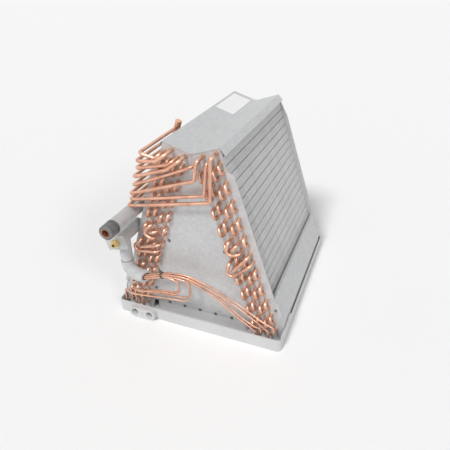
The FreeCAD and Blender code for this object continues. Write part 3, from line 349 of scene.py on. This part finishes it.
# silver brazing round every tube end in front of the coil
brazing = {"bellFront": -257.5, "feederFront": -259.5, "bellRing": (5.15, 0.6), "feederRing": (2.95, 0.7)}


def makeBrazeRings(side):
    points, faces = [], []
    forward = Vector((0, -1, 0))
    for row in range(coil["rows"]):
        for tube in range(coil["tubes"]):
            x, z = tubePlace(row, tube)
            last = tube == coil["tubes"] - 1
            centre = slabPoint(side, x, brazing["feederFront" if last else "bellFront"], z)
            major, minor = brazing["feederRing" if last else "bellRing"]
            addTorus(points, faces, centre, forward, major, minor)
    addPiece(side + "BrazeRings", points, faces, "braze")


for side in ("left", "right"):
    makeBrazeRings(side)

# and round the eight suction tubes where they enter the header
headerBrazing = {"tubes": 8, "tubeRadius": 4.76, "back": 0.7, "ring": (5.1, 0.9)}


def makeHeaderBrazing():
    points, faces = [], []
    for tube in range(1, headerBrazing["tubes"] + 1):
        low, high = inMillimetres(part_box(f"suction_tube_{tube}"))
        r = headerBrazing["tubeRadius"]
        centre = Vector((low.x + r, high.y - headerBrazing["back"], low.z + r))
        addTorus(points, faces, centre, Vector((0, -1, 0)), *headerBrazing["ring"])
    addPiece("headerBrazing", points, faces, "braze")


makeHeaderBrazing()
print("braze rings made")

# foam covers: slit tube insulation with a glued seam, slightly uneven along its length
foamCovers = {"uneven": 0.4, "seamDepth": 0.8, "seamHalfAngle": 0.08, "around": 60, "step": 4.0, "waves": 5,
              "waveRate": (0.02, 0.09), "phase": (0, 6.3), "lobes": (1, 4), "domeEnd": 0.5, "rollSection": 16,
              "lipTurns": (0.0, 0.4, 0.8, 1.2, math.pi / 2)}


def bendPath(start, corner, end, bend, step):
    # a straight run, an arc and a straight run
    before, after = (corner - start).normalized(), (end - corner).normalized()
    angle = before.angle(after)
    reach = bend * math.tan(angle / 2)
    arcStart, arcEnd = corner - before * reach, corner + after * reach
    centre = arcStart + (after - before * before.dot(after)).normalized() * bend
    axis = before.cross(after).normalized()
    runs = max(2, round((arcStart - start).length / step))
    path = [start.lerp(arcStart, k / runs) for k in range(runs)]
    turns = max(8, round(bend * angle / step))
    spoke = arcStart - centre
    path += [centre + Matrix.Rotation(angle * k / turns, 3, axis) @ spoke for k in range(turns)]
    runs = max(2, round((end - arcEnd).length / step))
    return path + [arcEnd.lerp(end, k / runs) for k in range(runs + 1)]


def straightPath(start, end, step):
    runs = max(2, round((end - start).length / step))
    return [start.lerp(end, k / runs) for k in range(runs + 1)]


def makeFoamCover(name, path, look, node, closedEnd=0.0, shape=None):
    outer, bore, seam, lip = (look[k] for k in ("radius", "bore", "seam", "lip"))
    around = foamCovers["around"]
    own = random.Random(name)
    waves = []
    for _ in range(foamCovers["waves"]):
        rate, phase = own.uniform(*foamCovers["waveRate"]), own.uniform(*foamCovers["phase"])
        waves.append((rate, phase, own.randint(*foamCovers["lobes"]), own.uniform(*foamCovers["phase"])))
    points, faces, rings = [], [], []
    ahead = (path[1] - path[0]).normalized()
    up = Vector((0, 0, 1)) if abs(ahead.z) < 0.7 else Vector((0, -1, 0))
    frames, along = [], 0.0
    for k, spot in enumerate(path):
        ahead = (path[min(k + 1, len(path) - 1)] - path[max(k - 1, 0)]).normalized()
        up = (up - ahead * up.dot(ahead)).normalized()
        along += (spot - path[k - 1]).length if k else 0
        frames.append((spot, ahead, up, along))

    def ring(place, radius, soft, shift=0.0):
        spot, ahead, up, along = place
        other = ahead.cross(up)
        rings.append(len(points))
        for a in range(around):
            angle = 2 * math.pi * a / around
            r = radius
            if soft:
                wave = sum(math.sin(along * w + p) * math.sin(n * angle + q) for w, p, n, q in waves)
                gap = abs((angle - seam + math.pi) % (2 * math.pi) - math.pi)
                r -= foamCovers["uneven"] * (0.5 + 0.5 * wave / len(waves))
                r -= foamCovers["seamDepth"] * max(0.0, 1 - gap / foamCovers["seamHalfAngle"])
            point = spot + ahead * shift + up * (r * math.cos(angle)) + other * (r * math.sin(angle))
            points.append(shape(point) if shape else point)

    ring(frames[0], bore, False)
    for turn in foamCovers["lipTurns"]:  # rounded lip at the near end
        ring(frames[0], outer - lip * (1 - math.sin(turn)), True, lip * (1 - math.cos(turn)))
    for place in frames[1:-1]:
        if lip < place[3] < frames[-1][3] - max(lip, closedEnd):
            ring(place, outer, True)
    depth = closedEnd or lip
    for turn in foamCovers["lipTurns"][::-1]:  # the far end's lip, or its closed dome
        ring(frames[-1], outer - depth * (1 - math.sin(turn)), True, -depth * (1 - math.cos(turn)))
    if closedEnd:
        ring(frames[-1], foamCovers["domeEnd"], False)
        faces.append(tuple(rings[-1] + k for k in range(around)))
    else:
        for place in frames[::-1]:
            ring(place, bore, False)
    for one, two in zip(rings, rings[1:]):
        faces.extend(ringFaces(one, two, around))
    if "roll" in look:  # the far end is turned back on itself
        major, minor = look["roll"]
        spot, ahead, first = frames[-1][0], frames[-1][1], len(points)
        addTorus(points, faces, spot - ahead * minor, ahead, major, minor, around, foamCovers["rollSection"])
        points[first:] = [shape(p) for p in points[first:]]
    piece = addPiece(name, points, faces, "foam")
    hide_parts(node)


def levelPath(low, high):
    # along the middle of a box, from its front to its back
    middle = (low + high) / 2
    start, end = (Vector((middle.x, y, middle.z)) for y in (low.y, high.y))
    return straightPath(start, end, foamCovers["step"])


suctionFoam = {"radius": 20.5, "bore": 11.5, "seam": math.radians(250), "lip": 1.5}
low, high = inMillimetres(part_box("suction_sleeve"))
makeFoamCover("suctionFoam", levelPath(low, high), suctionFoam, "suction_sleeve")

valveFoam = {"radius": 18.5, "bore": 15, "seam": math.radians(235), "lip": 1.5, "dome": 5}
low, high = inMillimetres(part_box("valve_sleeve"))
valveMiddle = (low + high) / 2
makeFoamCover("valveFoam", levelPath(low, high), valveFoam, "valve_sleeve", closedEnd=valveFoam["dome"])

dropFoam = {"radius": 17.5, "bore": 12, "seam": math.radians(40), "lip": 2.6, "gap": 0.3, "step": 2.0}


def copedTop(point):
    # the top follows the underside of the foam above it
    reach = valveFoam["radius"] + dropFoam["gap"]
    aside = point.x - valveMiddle.x
    roof = valveMiddle.z - math.sqrt(max(0.0, reach * reach - aside * aside))
    return Vector((point.x, point.y, min(point.z, roof)))


low, high = inMillimetres(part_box("distributor_sleeve"))
middle = (low + high) / 2
dropEnds = (Vector((middle.x, middle.y, z)) for z in (low.z, high.z))
makeFoamCover("dropFoam", straightPath(*dropEnds, dropFoam["step"]), dropFoam, "distributor_sleeve",
              shape=copedTop)

elbowFoam = {"radius": 19, "bore": 12, "bend": 38, "seam": math.radians(60), "lip": 3.0, "roll": (15.6, 3.2),
             "start": (-201, -299, 213.7), "corner": (-201, -299, 168), "end": (-147, -303, 168),
             "slant": 0.42, "slantReach": 24, "slantShift": 5}


def slantedMouth(point):
    # the open end is cut at a slant: its near side stands back
    mouthX, mouthY, _ = elbowFoam["end"]
    share = min(1.0, max(0.0, 1 - (mouthX - point.x) / elbowFoam["slantReach"]))
    shift = elbowFoam["slantShift"] + elbowFoam["slant"] * (point.y - mouthY)
    return point + Vector((share * shift, 0, 0))


elbowPoints = [Vector(elbowFoam[k]) for k in ("start", "corner", "end")]
elbowPath = bendPath(*elbowPoints, elbowFoam["bend"], foamCovers["step"])
makeFoamCover("elbowFoam", elbowPath, elbowFoam, "elbow_sleeve", shape=slantedMouth)
print("foam covers made")

# pipe thread inside the two drain ports, which fades out at its ends
drainThread = {"places": (-198, -148), "height": 20, "front": -306, "radius": 12.0, "depth": 1.1,
               "pitch": 1.814, "flank": 0.45, "turns": 3, "around": 36, "fade": 12}


def portPoint(place, radius, angle, y):
    # a point round the axis of the drain port at this place
    return Vector((place + radius * math.cos(angle), y, drainThread["height"] + radius * math.sin(angle)))


def makeDrainThreads():
    points, faces = [], []
    root, pitch, flank, fade = (drainThread[k] for k in ("radius", "pitch", "flank", "fade"))
    steps = drainThread["turns"] * drainThread["around"]
    for place in drainThread["places"]:
        start = len(points)
        for k in range(steps + 1):
            angle = 2 * math.pi * k / drainThread["around"]
            y = drainThread["front"] + pitch * (k / drainThread["around"] + 0.5)
            ease = min(1.0, k / fade, (steps - k) / fade)
            crest = root - drainThread["depth"] * ease
            for shift, radius in ((-flank, root), (0, crest), (flank, root)):
                points.append(portPoint(place, radius, angle, y + shift * pitch))
        for k in range(steps):
            first = start + 3 * k
            for a in range(2):
                faces.append((first + a, first + a + 1, first + a + 4, first + a + 3))
            faces.append((first + 2, first, first + 3, first + 5))
    addPiece("drainThreads", points, faces, "pan", edgeAngle=30)


makeDrainThreads()

# behind the thread each port steps down to a dark disc: painted shade in place of the opening into the trough
drainStep = {"front": -299, "back": -293.6, "seat": -293.2, "radius": 12.05, "hole": 10, "around": 48}


def makeDrainSteps():
    around = drainStep["around"]
    stepRings = (("radius", "front"), ("hole", "front"), ("hole", "back"), ("radius", "back"))
    shadeDiscRings = (("hole", "back"), ("hole", "seat"))
    # each hole is closed by a thin disc in the dark rubber finish, painted shade for the dark trough seen
    # through the opening
    pieces = {"drainSteps": ("pan", stepRings), "drainShadeDiscs": ("rubber", shadeDiscRings)}
    for name, (finish, section) in pieces.items():
        points, faces = [], []
        for place in drainThread["places"]:
            rings = []
            for radius, depth in section:
                rings.append(len(points))
                for k in range(around):
                    angle = 2 * math.pi * k / around
                    points.append(portPoint(place, drainStep[radius], angle, drainStep[depth]))
            for one, two in zip(rings, rings[1:]):
                faces += ringFaces(one, two, around)
            if name == "drainSteps":
                faces += ringFaces(rings[-1], rings[0], around)
            else:
                faces += [tuple(range(first, first + around)) for first in rings]
        addPiece(name, points, faces, finish)


makeDrainSteps()
print("drain threads made")

# raised mould mark between the ports: a long ring with a dot in its middle
mouldMark = {"place": (-173, -307, 20), "halfHeight": 5.2, "ringRadius": 3.4, "wire": 0.9, "around": 24,
             "section": 6, "dotRadius": 1.2, "dotAround": 12, "dotSection": 8}


def makeMouldMark():
    points, faces, path = [], [], []
    centre, forward = Vector(mouldMark["place"]), Vector((0, -1, 0))
    section, dot = mouldMark["section"], mouldMark["dotRadius"]
    for k in range(mouldMark["around"]):
        angle = 2 * math.pi * k / mouldMark["around"]
        rise = mouldMark["halfHeight"] if math.sin(angle) >= 0 else -mouldMark["halfHeight"]
        out = Vector((math.cos(angle), 0, math.sin(angle)))
        path.append((centre + out * mouldMark["ringRadius"] + Vector((0, 0, rise)), out))
    for spot, out in path:
        for b in range(section):
            turn = 2 * math.pi * b / section
            points.append(spot + (out * math.cos(turn) + forward * math.sin(turn)) * mouldMark["wire"])
    for k in range(len(path)):
        faces.extend(ringFaces(k * section, (k + 1) % len(path) * section, section))
    addTorus(points, faces, centre, forward, dot, dot, mouldMark["dotAround"], mouldMark["dotSection"])
    addPiece("mouldMark", points, faces, "pan")


makeMouldMark()


def extrudeOutline(name, outlines, depth, finish):
    # one piece of flat outlines, pushed along Y by the given depth
    points, faces = [], []
    for outline in outlines:
        base, count = len(points), len(outline)
        points += list(outline) + [p + Vector((0, depth, 0)) for p in outline]
        faces += [tuple(range(base, base + count)), tuple(range(base + count, base + 2 * count))[::-1]]
        faces += ringFaces(base, base + count, count)
    addPiece(name, points, faces, finish, smooth=False)


def besideFins(side, y, corners):
    # an outline past a slab's outer face, from distances out of the fins and down from their top
    outline = []
    for out, down in corners:
        x = finDepth + out if side == "right" else -out
        outline.append(slabPoint(side, x, y, finLength - down))
    return outline


# pressed stiffening line across each delta plate, above its screws
deltaBead = {"height": 67, "halfWidth": 157, "rise": 0.4, "half": 0.6, "front": -253.2, "rear": 259.6}


def makeDeltaBeads():
    half, reach, z = deltaBead["half"], deltaBead["halfWidth"], deltaBead["height"]
    corners = ((-reach, -half), (reach, -half), (reach, half), (-reach, half))
    for end, sign in (("front", -1), ("rear", 1)):
        outline = [Vector((x, deltaBead[end], z + h)) for x, h in corners]
        extrudeOutline(end + "DeltaBead", [outline], sign * deltaBead["rise"], "galvanised")


makeDeltaBeads()

# the rear tube sheets' narrow edge beside the fins, up to the cap's flange
rearEdge = {"start": 257.2, "corners": ((1.2, 2), (4.2, 16), (14.5, 67), (1.2, 57))}


def makeRearEdges():
    for side in ("left", "right"):
        outline = besideFins(side, rearEdge["start"], rearEdge["corners"])
        extrudeOutline(side + "RearEdge", [outline], coil["sheetThickness"], "galvanised")


makeRearEdges()

# the splash guards' end tabs over the tube sheets
guardTab = {"ends": {"front": -253.4, "rear": 259.8},
            "corners": ((14.5, 441), (17, 448), (20, 454), (22, 498),
                        (19, 504), (11.5, 506), (11.5, 484), (14, 466))}


def makeGuardTabs():
    for end, y in guardTab["ends"].items():
        outlines = [besideFins(side, y, guardTab["corners"]) for side in ("left", "right")]
        depth = coil["sheetThickness"] * (-1 if end == "front" else 1)
        extrudeOutline(end + "GuardTabs", outlines, depth, "galvanised")


makeGuardTabs()
print("small sheet and mould details made")

# dark contact cement in the joint between the two lower foam pieces
glueLine = {"radius": 16.7, "wire": 1.3, "around": 48, "section": 10}


def makeFoamGlue():
    points, faces = [], []
    joint, upward = Vector(elbowFoam["start"]), Vector((0, 0, 1))
    addTorus(points, faces, joint, upward, *(glueLine[k] for k in ("radius", "wire", "around", "section")))
    addPiece("foamGlue", points, faces, "rubber")


makeFoamGlue()

# plain sticker on the cap's left panel
label = {"near": 5.5, "far": 66.0, "front": 73, "back": 238, "panelTop": 563.8, "lifts": (0.02, 0.2),
         "corner": 3, "cornerSteps": 4}


def makeLabel():
    centreX, centreY = (label["near"] + label["far"]) / 2, (label["front"] + label["back"]) / 2
    halfX, halfY = (label["far"] - label["near"]) / 2, (label["back"] - label["front"]) / 2
    r, steps = label["corner"], label["cornerSteps"]
    ring = []
    for k, (signX, signY) in enumerate(((1, 1), (-1, 1), (-1, -1), (1, -1))):
        for a in range(steps + 1):
            angle = math.radians(90 * k + 90 / steps * a)
            ring.append((centreX + signX * (halfX - r) + r * math.cos(angle),
                         centreY + signY * (halfY - r) + r * math.sin(angle)))
    points = []
    for lift in label["lifts"]:
        points += [slabPoint("left", x, y, label["panelTop"] + lift) for x, y in ring]
    count = len(ring)
    faces = [tuple(range(count, 2 * count)), tuple(range(count))] + ringFaces(0, count, count)
    addPiece("blankLabel", points, faces, "label", smooth=False)


makeLabel()
print("label made")

# floor, light and camera
studio = {"worldStrength": 0.42, "keyStrength": 1.8, "keyAim": (0.2, 0.85, -1.0), "fillStrength": 0.5,
          "fillAim": (-0.8, 0.5, -0.6), "softness": 14, "floorTone": 0.97, "floorRoughness": 0.9,
          "floorReach": 30, "floorHeight": -0.0008}


def makeFloor():
    reach, height = studio["floorReach"], studio["floorHeight"]
    corners = ((-reach, -reach), (reach, -reach), (reach, reach), (-reach, reach))
    mesh = bpy.data.meshes.new("studioFloor")
    mesh.from_pydata([(x, y, height) for x, y in corners], [], [(0, 1, 2, 3)])
    floor = bpy.data.objects.new("studioFloor", mesh)
    bpy.context.scene.collection.objects.link(floor)
    tone = (studio["floorTone"],) * 3
    mesh.materials.append(newFinish("paleFloor", tone, 0.0, studio["floorRoughness"])[0])


def makeWorld():
    world = bpy.data.worlds.new("paleStudio")
    world.use_nodes = True
    bpy.context.scene.world = world
    tree = world.node_tree
    light = tree.nodes["Background"]
    light.inputs["Color"].default_value = (1, 1, 1, 1)
    light.inputs["Strength"].default_value = studio["worldStrength"]
    seen = tree.nodes.new("ShaderNodeBackground")  # what the camera, metal and glass see
    seen.inputs["Color"].default_value = (1, 1, 1, 1)
    seen.inputs["Strength"].default_value = 1.0
    rays = tree.nodes.new("ShaderNodeLightPath")
    picks = []
    for _ in range(2):
        pick = tree.nodes.new("ShaderNodeMath")
        pick.operation = "MAXIMUM"
        picks.append(pick)
    mix = tree.nodes.new("ShaderNodeMixShader")
    tree.links.new(rays.outputs["Is Camera Ray"], picks[0].inputs[0])
    tree.links.new(rays.outputs["Is Glossy Ray"], picks[0].inputs[1])
    tree.links.new(picks[0].outputs[0], picks[1].inputs[0])
    tree.links.new(rays.outputs["Is Transmission Ray"], picks[1].inputs[1])
    tree.links.new(picks[1].outputs[0], mix.inputs["Fac"])
    tree.links.new(light.outputs[0], mix.inputs[1])
    tree.links.new(seen.outputs[0], mix.inputs[2])
    tree.links.new(mix.outputs[0], tree.nodes["World Output"].inputs["Surface"])


def addSun(name, strength, aim):
    lamp = bpy.data.lights.new(name, "SUN")
    lamp.energy = strength
    lamp.angle = math.radians(studio["softness"])
    sun = bpy.data.objects.new(name, lamp)
    sun.rotation_euler = Vector(aim).to_track_quat("-Z", "Y").to_euler()
    bpy.context.scene.collection.objects.link(sun)


makeFloor()
makeWorld()
addSun("keyLight", studio["keyStrength"], studio["keyAim"])
addSun("fillLight", studio["fillStrength"], studio["fillAim"])

coilView = {"place": (447.34, -1145.27, 935.6), "azimuth": 22.04, "elevation": 30.89, "roll": -1.14,
            "focal": 434.58, "pictureWidth": 450, "sensor": 36, "clip": (0.05, 100)}


def makeCamera():
    azimuth, elevation, roll = (math.radians(coilView[k]) for k in ("azimuth", "elevation", "roll"))
    forward = Vector((-math.sin(azimuth) * math.cos(elevation), math.cos(azimuth) * math.cos(elevation),
                      -math.sin(elevation)))
    right = forward.cross(Vector((0, 0, 1))).normalized()
    up = right.cross(forward)
    across = right * math.cos(roll) + up * math.sin(roll)
    upward = up * math.cos(roll) - right * math.sin(roll)
    lens = bpy.data.cameras.new("coilView")
    lens.sensor_width = coilView["sensor"]
    lens.lens = coilView["focal"] / coilView["pictureWidth"] * lens.sensor_width
    lens.clip_start, lens.clip_end = coilView["clip"]
    camera = bpy.data.objects.new("coilView", lens)
    turned = Matrix((across, upward, -forward)).transposed().to_4x4()
    camera.matrix_world = Matrix.Translation(Vector(coilView["place"]) * mm) @ turned
    bpy.context.scene.collection.objects.link(camera)
    bpy.context.scene.camera = camera


makeCamera()
bpy.context.scene.view_settings.view_transform = "Standard"
print("floor, light and camera placed")
